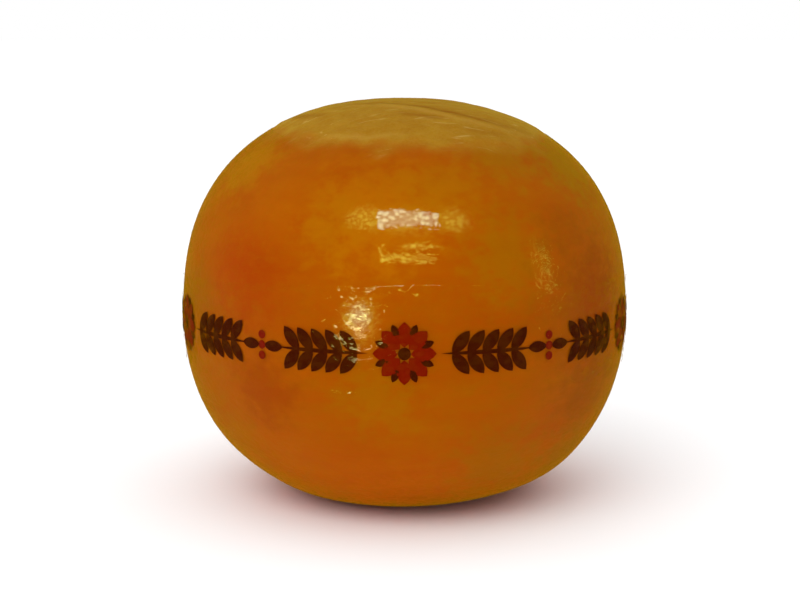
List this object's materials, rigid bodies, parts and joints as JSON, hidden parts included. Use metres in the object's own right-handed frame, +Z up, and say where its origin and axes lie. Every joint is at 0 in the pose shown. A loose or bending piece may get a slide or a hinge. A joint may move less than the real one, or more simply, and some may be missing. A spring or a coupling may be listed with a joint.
{
  "type": "ball of cheese",
  "caption": "Film-wrapped ball of orange semi-hard cheese, slightly flattened on top and underneath, with a printed band of clear film round its middle.",
  "frame": {"origin": "centre of the box's underside, where the ball stands on its flattened foot", "axes": "+Z up through the ball's top; the face of the print looks along -Y"},
  "size_m": [0.15, 0.15, 0.1313],
  "materials": {
    "wrapped_rind": "orange cheese rind under clinging clear film",
    "printed_film": "clear glossy film printed dark brown and dark red"
  },
  "bodies": {
    "root": {"cheese_ball": "wrapped_rind", "print_band": "printed_film"}
  },
  "joints": []
}
